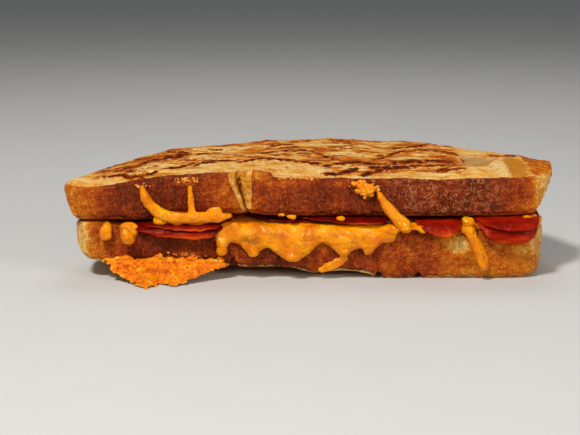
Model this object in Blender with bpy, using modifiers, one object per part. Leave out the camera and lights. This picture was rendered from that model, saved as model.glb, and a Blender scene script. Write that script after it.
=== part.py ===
"""A grilled cheese and ham sandwich made from two long slices of country loaf.

The long flat crust of the loaf faces the front (-Y), its arched crust the back (+Y).
Lengths are in millimetres, and finished meshes are scaled to metres. The slices are laid
out with the middle of the front crust near x = 0, y = 0, and the finished sandwich is
then centred over the origin, standing on z = 0.
"""

import math

import bmesh
import bpy
from mathutils import Matrix, Vector, noise

MM = 0.001
GAP = 0.35  # clearance between pieces that touch

# Plan of each slice: its ends along X, the depth of its arch along Y, where the arch is
# deepest, how full the arch stays towards each end, and how far each end is cut under.
UPPER = {
    "left": -100.5, "right": 102.0, "front": 0.0, "depth": 104.0, "crown": 12.0,
    "left_reach": 1.0, "right_reach": 1.03, "left_undercut": 4.0, "right_undercut": 8.0,
    "left_corner": (7.0, 5.0), "right_corner": (13.5, 18.5), "seed": 3.0,
}
LOWER = {
    "left": -97.0, "right": 97.5, "front": -0.5, "depth": 100.0, "crown": 8.0,
    "left_reach": 1.02, "right_reach": 1.03, "left_undercut": 0.0, "right_undercut": 0.0,
    "left_corner": (9.0, 7.0), "right_corner": (12.0, 10.0), "seed": 11.0,
}
ARCH_POWER_LEFT = 1.6
ARCH_POWER_RIGHT = 1.9
CRUST_WOBBLE = 0.7  # how far the crust strays from the plan
SLICE_GRID = (30, 8)  # facets along X and Y
END_SPACING = 0.45  # share of the columns' spacing that tightens towards the ends

# Levels of a slice's side: share of its thickness, and how far the crust is set in there.
CRUST_LEVELS = ((0.0, 1.6), (0.12, 0.2), (0.5, 0.0), (0.88, 0.2), (1.0, 1.6))

# Heights above the base.
LOWER_TOP = 20.6
UPPER_UNDERSIDE = 26.4
UPPER_RIM = 41.9
DOME = 3.6  # the upper slice's middle above its rim
DOME_RUN = 10.0
TOP_WOBBLE = 0.5

# The lower slice turns up at both ends.
LOWER_RISE_LEFT = 3.6
LOWER_RISE_RIGHT = 2.8
CURL = 4.8  # its left end curls up off the base
LIFT = 3.6  # its front edge is lifted left of LIFT_END, more so further left
LIFT_SLOPE = 0.065
LIFT_END = 21.0
LIFT_RUN = 27.0
END_ROUND = (9.0, 6.4)  # rounding under its ends, along X and up

# The upper slice is broken through its front crust, and its left piece sags.
BREAK_X = -27.5
BREAK_WIDTH = 9.0
BREAK_LEAN = 2.5
BREAK_DEEP = 9.0
BREAK_FOOT_SHARE = 0.2  # width at the foot
BREAK_FOOT_DEEP = 3.0
RIDGE = 4.0  # the crumb pushed up beside the break
RIDGE_WIDTHS = (24.0, 11.0)  # left and right of it
RIDGE_RUN = 12.0
SAG_LEFT = -1.5
SAG_MIDDLE = 1.6
END_DROOP = 3.6

# Notches torn in the lower slice's bottom edge: centre, half width, height of the tip.
TORN_NOTCHES = ((-31.5, 2.6, 11.5), (29.0, 2.4, 5.5), (45.5, 3.6, 3.0))
TORN_DEEP = 5.0

# Filling: heights of each layer's underside and top over the lower slice.
CHEESE_LOW = (0.65, 2.5)
HAM_LOW = (3.2, 4.0)
HAM_HIGH = (4.45, 5.2)
CHEESE_HIGH = (5.65, 7.05)
FULL_STACK_LEFT = 7.4
FULL_STACK_RIGHT = 5.8
EDGE_ROUND = 2.0  # sheets bend over the lower slice's front edge at this radius

# Slices of ham: left, right, front at each side, back, layer, flare away from the crust.
HAM_SLICES = {
    "ham_left_low": (-78.0, -31.0, (-5.6, -9.2), 72.0, HAM_LOW, 0.10),
    "ham_left_high": (-74.0, -30.0, (-4.6, -6.6), 66.0, HAM_HIGH, 0.25),
    "ham_middle_low": (-27.5, 33.5, (0.6, 1.5), 95.5, HAM_LOW, 0.0),
    "ham_middle_high": (-12.0, 39.5, (0.0, -5.6), 93.0, HAM_HIGH, 0.1),
    "ham_right_low": (41.5, 64.3, (-4.0, -8.6), 84.0, HAM_LOW, 0.12),
    "ham_end_low": (67.4, 95.0, (-7.6, -12.4), 58.0, HAM_LOW, 0.10),
    "ham_end_high": (66.6, 95.5, (-3.8, -9.0), 50.0, HAM_HIGH, 0.20),
}
HAM_SQUARENESS = 4.0
HAM_GRID = (6, 9)
BEND_RUN = 13.0  # a slice has two thirds of its rows within this distance of its front edge
RIM_SHARE = 0.8  # a sheet's rim is this much of its thickness

# The lower cheese: its ends, and its curtain of drips over the front crust.
CHEESE_SPAN = (-64.0, 92.5)
CHEESE_GRID = (124, 17)
CHEESE_FLAT = 5.0 / 17.0  # share of the rows that lie on top of the slice
HEM_LEFT = -39.0
HEM_RIGHT = 43.0
TUCKED = 1.0  # elsewhere the cheese ends this far behind the edge's round
HEM = (  # the curtain's lower edge, drip by drip, each point (x, z)
    (-39.5, 18.6), (-38.4, 13.0), (-36.2, 9.8), (-34.2, 13.0), (-33.0, 17.0), (-28.8, 16.0), (-26.2, 12.6),
    (-23.2, 9.0), (-20.6, 11.6), (-17.6, 14.2), (-15.2, 12.8), (-12.4, 9.8), (-9.5, 8.0), (-7.1, 7.3),
    (-4.0, 8.2), (0.2, 11.4), (2.9, 14.5), (5.3, 16.8), (7.2, 15.6), (9.8, 13.0), (12.0, 10.4), (14.0, 9.2),
    (16.6, 11.0), (19.6, 13.0), (21.6, 12.8), (23.0, 8.2), (25.2, 8.0), (26.8, 11.4), (29.3, 16.4),
    (36.0, 17.2), (44.0, 18.0),
)

# Melted strings from the upper end down, each point (x, distance off the crust, z, radius).
STRING_LEFT = (
    (-68.2, 0.0, 38.6, 1.1), (-67.2, 0.0, 35.4, 1.8), (-65.2, 0.0, 32.2, 2.0),
    (-61.8, 0.2, 29.2, 2.2), (-57.0, 0.4, 27.3, 2.2), (-51.0, 0.5, 26.9, 2.2),
)
STRING_UPRIGHT = ((-48.6, 0.0, 38.8, 1.0), (-48.3, 0.0, 33.0, 1.25), (-47.8, 0.4, 27.2, 1.6))
BEAD = (
    (-62.0, 0.6, 26.8, 1.3), (-57.0, 0.5, 27.0, 1.9), (-48.0, 0.5, 27.0, 2.1),
    (-39.0, 0.5, 27.2, 2.1), (-31.0, 0.5, 27.3, 1.9), (-26.5, 0.5, 27.4, 1.3),
)
STRING_RIGHT = (
    (28.4, 0.0, 40.2, 1.2), (29.2, 0.0, 36.5, 1.6), (31.6, 0.0, 31.6, 1.9),
    (35.2, 0.6, 27.3, 2.3), (38.6, 1.6, 24.0, 2.7), (39.2, 2.0, 21.0, 2.4), (39.4, 1.4, 18.6, 1.8),
)
DRIP_RIGHT = (
    (65.6, 0.6, 22.0, 1.2), (65.9, 0.2, 20.6, 1.8), (67.6, 0.0, 16.8, 2.1),
    (69.8, 0.0, 11.0, 2.4), (71.4, 0.0, 6.6, 2.2),
)
DROPS = {
    "cheese_drop_outer": ((-83.0, 0.1, 23.2, 1.7), (-83.2, 0.1, 21.6, 2.1), (-83.5, 0.1, 19.3, 2.4)),
    "cheese_drop_inner": ((-75.0, 3.4, 21.4, 1.7), (-74.6, 2.2, 19.6, 2.8), (-74.0, 0.8, 17.2, 3.0)),
}
TONGUE_WIDTH = 2.0  # cheese reaching over the edge to the right drip

# Crisp cheese fried out under the front left edge: it hangs down to a tip near the base.
CRISP_EDGE = (  # its outer edge, each point (x, how far it stands out, height of its underside)
    (-85.5, 0.4, 8.2), (-84.3, 0.8, 7.6), (-81.3, 2.0, 5.0), (-80.2, 3.9, 3.7), (-75.2, 6.0, 2.0),
    (-71.8, 7.4, 1.1), (-70.1, 11.2, 0.1), (-66.5, 15.2, 0.1), (-63.6, 12.0, 0.1), (-61.2, 8.0, 0.2),
    (-57.9, 10.1, 0.1), (-55.1, 11.7, 0.1), (-51.7, 9.3, 0.8), (-49.0, 7.5, 1.8), (-44.5, 5.6, 2.8),
    (-41.1, 3.2, 4.0), (-36.7, 1.6, 5.6), (-33.5, 0.8, 6.4),
)
CRISP_THICK = 1.4
CRISP_TUCKED = 3.5
CRISP_CLEAR = 0.1  # its tip above the base
CRISP_GRID = (30, 5)

PATCH_CENTRE = (23.0, -1.75, 38.4)
PATCH_SIZE = (8.6, 2.6, 6.2)

COLOURS = {  # red, green, blue, roughness, metallic
    "crust": (0.36, 0.13, 0.04, 0.75, 0.0),
    "cheese": (0.86, 0.36, 0.03, 0.35, 0.0),
    "crisp_cheese": (0.78, 0.30, 0.03, 0.55, 0.0),
    "ham": (0.42, 0.04, 0.02, 0.40, 0.0),
}


def ease(start, end, value):
    """0 before start, 1 after end, and smooth between them."""
    t = min(1.0, max(0.0, (value - start) / (end - start)))
    return t * t * (3.0 - 2.0 * t)


def wobble(a, b, seed, wavelength):
    """Smooth unevenness from -1 to 1."""
    return 2.0 * noise.noise(Vector((a / wavelength, b / wavelength, seed)))


def between(line, x):
    """What follows x in each point of the line, read off between the two points beside x."""
    x = min(max(x, line[0][0]), line[-1][0])
    for (start, *low), (end, *high) in zip(line, line[1:]):
        if x <= end:
            share = (x - start) / (end - start)
            return [a + (b - a) * share for a, b in zip(low, high)]


def corner(x, end, size):
    """How far an edge falls back within a rounded corner of that run and depth."""
    run, deep = size
    t = min(1.0, max(0.0, 1.0 - abs(end - x) / run))
    return deep * (1.0 - math.sqrt(1.0 - t * t))


# ---- the plan and the heights of the two slices


def front_edge(plan, x):
    left = corner(x, plan["left"], plan["left_corner"])
    right = corner(x, plan["right"], plan["right_corner"])
    return plan["front"] + left + right + CRUST_WOBBLE * wobble(x, 0.0, plan["seed"], 34.0)


def back_edge(plan, x):
    if x < plan["crown"]:
        share = (plan["crown"] - x) / ((plan["crown"] - plan["left"]) * plan["left_reach"])
        power = ARCH_POWER_LEFT
    else:
        share = (x - plan["crown"]) / ((plan["right"] - plan["crown"]) * plan["right_reach"])
        power = ARCH_POWER_RIGHT
    arch = math.sqrt(1.0 - min(1.0, share) ** power)
    return plan["depth"] * arch + CRUST_WOBBLE * wobble(x, 50.0, plan["seed"], 28.0)


def lower_top(x, _y=0.0):
    return LOWER_TOP + LOWER_RISE_LEFT * ease(-68.0, -92.0, x) + LOWER_RISE_RIGHT * ease(72.0, 96.0, x)


def lower_underside(x, y):
    curl = CURL * ease(-25.0, -96.0, x)
    lift = LIFT + LIFT_SLOPE * (LIFT_END - x)
    lift *= (1.0 - ease(LIFT_END, LIFT_END + 11.0, x)) * (1.0 - 0.55 * ease(-35.0, -92.0, x))
    from_front = min(1.0, max(0.0, y - front_edge(LOWER, x)) / LIFT_RUN)
    ends = corner(x, LOWER["left"], END_ROUND) + corner(x, LOWER["right"], END_ROUND)
    return curl + lift * (1.0 - from_front) + ends


def upper_underside(x, _y=0.0):
    sag = SAG_LEFT + (SAG_MIDDLE - SAG_LEFT) * ease(-68.0, -50.0, x)
    sag -= SAG_MIDDLE * ease(-30.0, -12.0, x)
    return UPPER_UNDERSIDE + sag + 1.4 * ease(80.0, 100.0, x)


def upper_top(x, y):
    from_front = max(0.0, y - front_edge(UPPER, x))
    from_back = max(0.0, back_edge(UPPER, x) - y)
    beside = x - (BREAK_X - 3.5)
    width = RIDGE_WIDTHS[beside > 0.0]
    ridge = RIDGE * math.exp(-((beside / width) ** 2) - from_front / RIDGE_RUN)
    ends = 0.8 * ease(60.0, 100.0, x) - END_DROOP * ease(-62.0, -96.0, x)
    dome = DOME * (1.0 - math.exp(-min(from_front, from_back) / DOME_RUN))
    return UPPER_RIM + ridge + ends + dome + TOP_WOBBLE * wobble(x, y, 5.0, 22.0)


def squeeze(x):
    """Share of its full height that the filling keeps where the slices pinch it."""
    full = FULL_STACK_LEFT if x < -30.0 else FULL_STACK_RIGHT
    return min(1.0, (upper_underside(x) - lower_top(x)) / full)


def over_lower_slice(x, y, height, flare=0.0):
    """A point that lies height off the lower slice: on its top, round its edge or down its front."""
    start = front_edge(LOWER, x) + EDGE_ROUND
    along = start - y
    squeezed = height * squeeze(x)
    if along <= 0.0:
        return Vector((x, y, lower_top(x) + squeezed))
    off = squeezed + (height - squeezed) * ease(1.5, 7.0, along)
    radius = EDGE_ROUND + off
    angle = min(along / radius, math.pi / 2.0)
    past = max(0.0, along - radius * math.pi / 2.0)
    out = radius * math.sin(angle) + flare * along * ease(2.0, 9.0, along)
    return Vector((x, start - out, lower_top(x) - EDGE_ROUND + radius * math.cos(angle) - past))


# ---- making objects


def clear_scene():
    for obj in list(bpy.data.objects):
        bpy.data.objects.remove(obj)


def collection(name):
    made = bpy.data.collections.new(name)
    bpy.context.scene.collection.children.link(made)
    return made


def material(name):
    red, green, blue, roughness, metallic = COLOURS[name]
    made = bpy.data.materials.get(name) or bpy.data.materials.new(name)
    made.use_nodes = True
    shader = made.node_tree.nodes["Principled BSDF"]
    shader.inputs["Base Color"].default_value = (red, green, blue, 1.0)
    shader.inputs["Roughness"].default_value = roughness
    shader.inputs["Metallic"].default_value = metallic
    return made


def object_from(bm, name, home, finish=None):
    """Turns a bmesh in millimetres into an object in metres."""
    bmesh.ops.recalc_face_normals(bm, faces=bm.faces)
    if bm.calc_volume(signed=True) < 0.0:
        bmesh.ops.reverse_faces(bm, faces=bm.faces)
    bmesh.ops.triangulate(bm, faces=bm.faces)
    bmesh.ops.transform(bm, matrix=Matrix.Scale(MM, 4), verts=bm.verts)
    mesh = bpy.data.meshes.new(name)
    bm.to_mesh(mesh)
    bm.free()
    mesh.shade_smooth()
    mesh.set_sharp_from_angle(angle=math.radians(50.0))
    obj = bpy.data.objects.new(name, mesh)
    home.objects.link(obj)
    if finish:
        mesh.materials.append(material(finish))
    return obj


def block(along_x, along_y, along_z):
    """A cube from 0 to 1 on each axis, cut into that many facets along each."""
    bm = bmesh.new()
    bmesh.ops.create_cube(bm, size=1.0, matrix=Matrix.Translation((0.5, 0.5, 0.5)))
    for axis, facets in enumerate((along_x, along_y, along_z)):
        edges = [e for e in bm.edges if abs(e.verts[0].co[axis] - e.verts[1].co[axis]) > 0.5]
        if facets > 1:
            bmesh.ops.subdivide_edges(bm, edges=edges, cuts=facets - 1)
    return bm


def modifier(obj, kind, **settings):
    made = obj.modifiers.new(kind.title(), kind)
    for name, value in settings.items():
        setattr(made, name, value)
    return made


def baked(obj, home, finish):
    """The object with its modifiers applied, as a plain mesh in the given collection."""
    graph = bpy.context.evaluated_depsgraph_get()
    mesh = bpy.data.meshes.new_from_object(obj.evaluated_get(graph))
    name = obj.name
    bpy.data.objects.remove(obj)
    mesh.name = name
    mesh.materials.clear()
    mesh.materials.append(material(finish))
    made = bpy.data.objects.new(name, mesh)
    home.objects.link(made)
    return made


# ---- bread


def bread_slice(name, plan, underside, top, home):
    steps = len(CRUST_LEVELS) - 1
    bm = block(*SLICE_GRID, steps)
    for vert in bm.verts:
        u, v, w = vert.co
        share, inset = CRUST_LEVELS[round(w * steps)]
        spread = u + END_SPACING * (0.5 - u - 0.5 * math.cos(math.pi * u))
        left = plan["left"] + inset + plan["left_undercut"] * (1.0 - share) ** 2
        right = plan["right"] - inset - plan["right_undercut"] * (1.0 - share)
        x = left + spread * (right - left)
        near, far = front_edge(plan, x) + inset, back_edge(plan, x) - inset
        y = near + v * (far - near)
        low, high = underside(x, y), top(x, y)
        vert.co = (x, y, low + share * (high - low))
    return object_from(bm, name, home, "crust")


def as_cutter(bm, name, home):
    obj = object_from(bm, name, home)
    obj.hide_render = True
    obj.display_type = "WIRE"
    return obj


def torn_notch(number, centre, half_width, height, home):
    """A prism through the bottom front edge, narrowing upwards."""
    foot = lower_underside(centre, LOWER["front"]) - 4.0
    bm = block(1, 1, 1)
    for vert in bm.verts:
        u, v, w = vert.co
        half = half_width * (0.06 if w > 0.5 else 1.0)
        y = TORN_DEEP if v > 0.5 else -6.0
        vert.co = (centre + (2.0 * u - 1.0) * half, y, height if w > 0.5 else foot)
    return as_cutter(bm, f"torn_notch_{number}", home)


def break_cutter(home):
    """A leaning wedge: wide and deep at the top of the break, closing towards its foot."""
    bm = block(1, 1, 1)
    for vert in bm.verts:
        u, v, w = vert.co
        high, inner = w > 0.5, v > 0.5
        half = BREAK_WIDTH / 2.0 * (1.0 if high else BREAK_FOOT_SHARE) * (0.12 if inner else 1.0)
        x = BREAK_X + BREAK_LEAN * (0.5 - w) + (2.0 * u - 1.0) * half
        deep = BREAK_DEEP if high else BREAK_FOOT_DEEP
        vert.co = (x, deep if inner else -4.0, UPPER_RIM + 8.0 if high else UPPER_UNDERSIDE + 3.0)
    return as_cutter(bm, "break_cutter", home)


def make_bread(home, cutters):
    lower = bread_slice("bread_lower", LOWER, lower_underside, lower_top, home)
    for number, (centre, half_width, height) in enumerate(TORN_NOTCHES):
        notch = torn_notch(number, centre, half_width, height, cutters)
        modifier(lower, "BOOLEAN", object=notch, operation="DIFFERENCE", solver="EXACT")
    upper = bread_slice("bread_upper", UPPER, upper_underside, upper_top, home)
    modifier(upper, "BOOLEAN", object=break_cutter(cutters), operation="DIFFERENCE", solver="EXACT")


# ---- sheets laid over the lower slice


def laid_sheet(grid, outline, layer, flare=0.0):
    """A layer laid over the lower slice. outline(u, v) gives its plan, v running from back to front."""
    bm = block(*grid, 1)
    middle, half = (layer[0] + layer[1]) / 2.0, (layer[1] - layer[0]) / 2.0
    for vert in bm.verts:
        u, v, w = vert.co
        x, y = outline(u, v)
        rim = min(u, 1.0 - u, v, 1.0 - v) < 1e-6
        thick = half * (RIM_SHARE if rim else 1.0)
        vert.co = over_lower_slice(x, y, middle + (2.0 * w - 1.0) * thick, flare)
    return bm


def ham_outline(left, right, fronts, back):
    """A rounded square: each point of the unit square is pulled in to a superellipse."""
    bend = BEND_RUN / (back - fronts[0])

    def point(u, v):
        v = 3.0 * v * (1.0 - bend) if v < 1.0 / 3.0 else 1.0 - 1.5 * bend * (1.0 - v)
        a, b = 2.0 * u - 1.0, 2.0 * v - 1.0
        length = (abs(a) ** HAM_SQUARENESS + abs(b) ** HAM_SQUARENESS) ** (1.0 / HAM_SQUARENESS)
        scale = max(abs(a), abs(b)) / length if length > 0.0 else 0.0
        front = fronts[0] + u * (fronts[1] - fronts[0])
        x = (left + right) / 2.0 + a * scale * (right - left) / 2.0
        y = (front + back) / 2.0 - b * scale * (back - front) / 2.0
        return x, y

    return point


def make_ham(home):
    for name, (left, right, fronts, back, layer, flare) in HAM_SLICES.items():
        bm = laid_sheet(HAM_GRID, ham_outline(left, right, fronts, back), layer, flare)
        object_from(bm, name, home, "ham")


def hem(x):
    """How far the lower cheese runs past the start of the edge's round at x."""
    shown = ease(HEM_LEFT - 2.0, HEM_LEFT + 2.0, x) * (1.0 - ease(HEM_RIGHT - 2.0, HEM_RIGHT + 2.0, x))
    bend = (EDGE_ROUND + CHEESE_LOW[1] / 2.0) * math.pi / 2.0
    (edge,) = between(HEM, x)
    curtain = shown * (bend + lower_top(x) - EDGE_ROUND - edge + TUCKED)
    tongue = (bend + 1.5 + TUCKED) * math.exp(-(((x - DRIP_RIGHT[0][0]) / TONGUE_WIDTH) ** 4))
    return max(curtain, tongue) - TUCKED


def cheese_outline(u, v):
    left, right = CHEESE_SPAN
    tighter = 0.25 * (0.5 + 0.5 * math.sin(math.pi * (u - 0.5)))  # columns bunch towards the ends
    x = left + (0.75 * u + tighter) * (right - left)
    back = back_edge(LOWER, x) - 2.0 + 2.2 * wobble(x, 80.0, 2.0, 18.0)
    turn = front_edge(LOWER, x) + EDGE_ROUND
    front = turn - hem(x)
    shoulder = max(turn, front - 0.8)
    if v <= CHEESE_FLAT:
        return x, back + (shoulder - back) * v / CHEESE_FLAT
    past = ((v - CHEESE_FLAT) / (1.0 - CHEESE_FLAT)) ** 1.2
    return x, shoulder + (min(front, shoulder - 0.8) - shoulder) * past


# ---- melted cheese


def crust_front(x, z):
    """The front of whichever slice is at that height."""
    return front_edge(UPPER if z > upper_underside(x) - 0.5 else LOWER, x)


def add_string(bm, route, helpers):
    """Adds a melted string that lies against the crust, with round ends, in millimetres."""
    curve = bpy.data.curves.new("guide", "CURVE")
    curve.dimensions = "3D"
    curve.bevel_depth = 1.0
    curve.bevel_resolution = 2
    curve.use_fill_caps = True
    curve.resolution_u = 4
    spline = curve.splines.new("BEZIER")
    spline.bezier_points.add(len(route) - 1)
    for point, (x, off, z, radius) in zip(spline.bezier_points, route):
        point.co = (x, crust_front(x, z) - GAP - radius - off, z)
        point.radius = radius
        point.handle_left_type = point.handle_right_type = "AUTO"
    for point in (spline.bezier_points[0], spline.bezier_points[-1]):
        place = Matrix.Translation(point.co)
        bmesh.ops.create_icosphere(bm, subdivisions=2, radius=point.radius, matrix=place)
    guide = bpy.data.objects.new("guide", curve)
    helpers.objects.link(guide)
    graph = bpy.context.evaluated_depsgraph_get()
    mesh = bpy.data.meshes.new_from_object(guide.evaluated_get(graph))
    bm.from_mesh(mesh)
    bpy.data.objects.remove(guide)
    bpy.data.curves.remove(curve)
    bpy.data.meshes.remove(mesh)


def melted(bm, name, voxel, ratio, helpers, home):
    """Joins what the bmesh holds into one soft skin with few facets."""
    bmesh.ops.remove_doubles(bm, verts=bm.verts, dist=0.001)
    obj = object_from(bm, name, helpers)
    modifier(obj, "REMESH", mode="VOXEL", voxel_size=voxel * MM)
    modifier(obj, "SMOOTH", factor=0.5, iterations=2)
    modifier(obj, "DECIMATE", ratio=ratio)
    return baked(obj, home, "cheese")


def make_cheese_lower(helpers, home):
    bm = laid_sheet(CHEESE_GRID, cheese_outline, CHEESE_LOW)
    bmesh.ops.recalc_face_normals(bm, faces=bm.faces)
    for route in (STRING_RIGHT, DRIP_RIGHT):
        add_string(bm, route, helpers)
    melted(bm, "cheese_lower", 0.5, 0.0115, helpers, home)


def make_cheese_upper(helpers, home):
    left, right = BEAD[0][0] + 1.0, BEAD[-1][0] - 1.0
    bm = block(14, 10, 1)
    for vert in bm.verts:
        u, v, w = vert.co
        x = left + u * (right - left)
        back = back_edge(LOWER, x) - 1.0 + 1.5 * wobble(x, 20.0, 7.0, 15.0)
        z = lower_top(x) + CHEESE_HIGH[w > 0.5] * squeeze(x)
        vert.co = (x, back - v * (back + 2.0), z)
    bmesh.ops.recalc_face_normals(bm, faces=bm.faces)
    for route in (BEAD, STRING_LEFT, STRING_UPRIGHT):
        add_string(bm, route, helpers)
    melted(bm, "cheese_upper", 0.5, 0.018, helpers, home)


def make_drops(helpers, home):
    for name, route in DROPS.items():
        bm = bmesh.new()
        add_string(bm, route, helpers)
        melted(bm, name, 0.45, 0.12, helpers, home)


# ---- crisp cheese


def make_crisp(home):
    bm = block(*CRISP_GRID, 1)
    left, right = CRISP_EDGE[0][0], CRISP_EDGE[-1][0]
    for vert in bm.verts:
        u, v, w = vert.co
        x = left + u * (right - left)
        edge = front_edge(LOWER, x)
        reach, rim_height = between(CRISP_EDGE, x)
        out = v * (reach + CRISP_TUCKED) - CRISP_TUCKED
        bottom = lower_underside(x, edge - min(out, 0.0)) - GAP - CRISP_THICK
        if out > 0.0:
            bottom += min(0.0, rim_height - bottom) * (out / reach) ** 1.3
        thick = CRISP_THICK * (0.6 if v > 0.99 else 1.0)
        vert.co = (x, edge - out, max(CRISP_CLEAR, bottom) + w * thick)
    object_from(bm, "cheese_crisp", home, "crisp_cheese")


def make_patch(home):
    """A crisp blob of cheese on the upper crust."""
    bm = bmesh.new()
    place = Matrix.Translation(PATCH_CENTRE) @ Matrix.Diagonal(Vector(PATCH_SIZE) / 2.0).to_4x4()
    bmesh.ops.create_icosphere(bm, subdivisions=2, radius=1.0, matrix=place)
    for vert in bm.verts:
        vert.co.z += 0.5 * wobble(vert.co.x, vert.co.z, 4.0, 3.0)
    object_from(bm, "cheese_patch", home, "crisp_cheese")


def shift_to_origin(home):
    """The move that puts the middle of the whole box's underside at the origin."""
    bpy.context.view_layer.update()
    corners = [Vector(point) for obj in home.objects for point in obj.bound_box]
    low = [min(point[axis] for point in corners) for axis in range(3)]
    high = [max(point[axis] for point in corners) for axis in range(3)]
    return Vector(((low[0] + high[0]) / -2.0, (low[1] + high[1]) / -2.0, -low[2]))


def main():
    clear_scene()
    home = collection("grilled_cheese_sandwich")
    cutters = collection("cutters")
    make_bread(home, cutters)
    make_cheese_lower(cutters, home)
    make_cheese_upper(cutters, home)
    make_drops(cutters, home)
    make_ham(home)
    make_crisp(home)
    make_patch(home)
    shift = shift_to_origin(home)
    for obj in [*home.objects, *cutters.objects]:
        obj.location = shift


main()
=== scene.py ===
import itertools
import math
import types

import bpy
import numpy as np
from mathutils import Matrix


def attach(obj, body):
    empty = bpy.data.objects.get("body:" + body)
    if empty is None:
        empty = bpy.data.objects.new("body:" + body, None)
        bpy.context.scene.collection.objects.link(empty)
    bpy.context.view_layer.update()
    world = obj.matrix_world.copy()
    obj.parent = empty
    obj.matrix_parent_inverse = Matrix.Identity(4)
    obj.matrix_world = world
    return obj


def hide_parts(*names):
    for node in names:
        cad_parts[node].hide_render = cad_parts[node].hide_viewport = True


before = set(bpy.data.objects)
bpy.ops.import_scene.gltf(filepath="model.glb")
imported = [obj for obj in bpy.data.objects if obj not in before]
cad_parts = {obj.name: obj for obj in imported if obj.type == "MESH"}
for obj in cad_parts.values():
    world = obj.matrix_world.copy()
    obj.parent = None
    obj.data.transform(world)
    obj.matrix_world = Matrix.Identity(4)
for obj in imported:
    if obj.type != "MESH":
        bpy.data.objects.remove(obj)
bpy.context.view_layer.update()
millimetre = 0.001
mergeDistance = 0.005 * millimetre
print("frame loaded")


def inMetres(values):
    return [value * millimetre for value in values]


def addAt(place, data):
    thing = bpy.data.objects.new(data.name, data)
    bpy.context.scene.collection.objects.link(thing)
    thing.location = inMetres(place)
    return thing


# Camera and light. A light is its place, its aim, its size in metres, its power in watts and its tint.
cameraSettings = {"place": (-8.25, -552.4, 138.8), "tilt": 77.5, "lens": 78.6, "sensor": 36, "nearest": 0.01}
warm = (1, 0.97, 0.92)
lightSettings = {
    "keyLight": ((-300, -560, 820), (0, -20, 20), 0.15, 8.1, warm),
    "glintLight": ((-120, -600, 250), (0, -45, 20), 0.03, 0.26, warm),
    "fillLight": ((620, -560, 300), (0, 0, 20), 0.24, 2.1, warm),
    "topLight": ((60, 420, 800), (0, 10, 20), 0.6, 1.6, (1, 0.98, 0.95)),
}
worldSettings = {"tint": (0.95, 0.97, 1, 1), "strength": 0.16}


def addCamera(settings):
    data = bpy.data.cameras.new("camera")
    data.lens = settings["lens"]
    data.sensor_width = settings["sensor"]
    data.clip_start = settings["nearest"]
    camera = addAt(settings["place"], data)
    camera.rotation_euler = (math.radians(settings["tilt"]), 0, 0)
    bpy.context.scene.camera = camera


def addLights(settings, surroundings):
    for name, (place, aim, size, power, tint) in settings.items():
        data = bpy.data.lights.new(name, "AREA")
        data.shape = "DISK"
        data.size = size
        data.energy = power
        data.color = tint
        x, y, z = np.subtract(aim, place)
        addAt(place, data).rotation_euler = (math.atan2(math.hypot(x, y), -z), 0, math.atan2(-x, y))
    world = bpy.data.worlds.new("softWorld")
    world.use_nodes = True
    backdrop = world.node_tree.nodes["Background"]
    backdrop.inputs["Color"].default_value = surroundings["tint"]
    backdrop.inputs["Strength"].default_value = surroundings["strength"]
    bpy.context.scene.world = world
    bpy.context.scene.view_settings.view_transform = "Standard"


addCamera(cameraSettings)
addLights(lightSettings, worldSettings)
print("camera and light placed")


# Uneven patterns in mm: every corner and cell of a grid draws from these tables.
patternDice = np.random.default_rng(11)
tableSize = 256
shuffled = patternDice.permutation(tableSize)
slopes = patternDice.normal(size=(tableSize, 3))
slopes /= np.linalg.norm(slopes, axis=1)[:, None]
dots = patternDice.random((tableSize, 3))
chances = patternDice.random(tableSize)


def cornerKey(cell, seed):
    key = shuffled[(cell[:, 0] + seed) % tableSize]
    key = shuffled[(key + cell[:, 1]) % tableSize]
    return shuffled[(key + cell[:, 2]) % tableSize]


# rolling unevenness from about -1 to 1, with lumps of that size
def softNoise(points, size, seed):
    grid = points / np.asarray(size, float) + 0.5
    cell = np.floor(grid).astype(int)
    part = grid - cell
    fade = part * part * part * (part * (part * 6 - 15) + 10)
    total = np.zeros(len(points))
    for corner in itertools.product((0, 1), repeat=3):
        weight = np.ones(len(points))
        for axis in range(3):
            weight *= fade[:, axis] if corner[axis] else 1 - fade[:, axis]
        slope = slopes[cornerKey(cell + corner, seed)]
        total += weight * np.einsum("ij,ij->i", slope, part - corner)
    return 1.6 * total


# several such layers on top of each other: each is its height and the size of its lumps
def layered(points, seed, layers):
    return sum(height * softNoise(points, size, seed + n) for n, (height, size) in enumerate(layers))


# thin crests: 1 along them and 0 between
def ridges(points, size, seed):
    return np.clip(1 - 3 * np.abs(softNoise(points, size, seed)), 0, 1)


# distance to the nearest scattered dot, in dot spacings, and that dot's chance
def scatteredDots(points, size, seed):
    grid = points / np.asarray(size, float)
    cell = np.floor(grid).astype(int)
    nearest = np.full(len(points), 9.0)
    chance = np.zeros(len(points))
    for step in itertools.product((-1, 0, 1), repeat=3):
        key = cornerKey(cell + step, seed)
        distance = np.linalg.norm(grid - cell - step - dots[key], axis=1)
        closer = distance < nearest
        nearest = np.where(closer, distance, nearest)
        chance = np.where(closer, chances[key], chance)
    return nearest, chance


def ease(start, end, value):
    share = np.clip((value - start) / (end - start), 0, 1)
    return share * share * (3 - 2 * share)


# reads a table of (place, value) pairs, straight from one pair to the next
def readTable(table, places):
    return np.interp(places, *zip(*table))


# Handling meshes.
def pick(piece, *others):
    bpy.ops.object.select_all(action="DESELECT")
    for other in (piece, *others):
        other.select_set(True)
    bpy.context.view_layer.objects.active = piece


def joinTo(piece, others):
    pick(piece, *others)
    bpy.ops.object.join()


def editAll(piece):
    pick(piece)
    bpy.ops.object.mode_set(mode="EDIT")
    bpy.ops.mesh.select_all(action="SELECT")


def stopEditing():
    bpy.ops.object.mode_set(mode="OBJECT")


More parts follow.
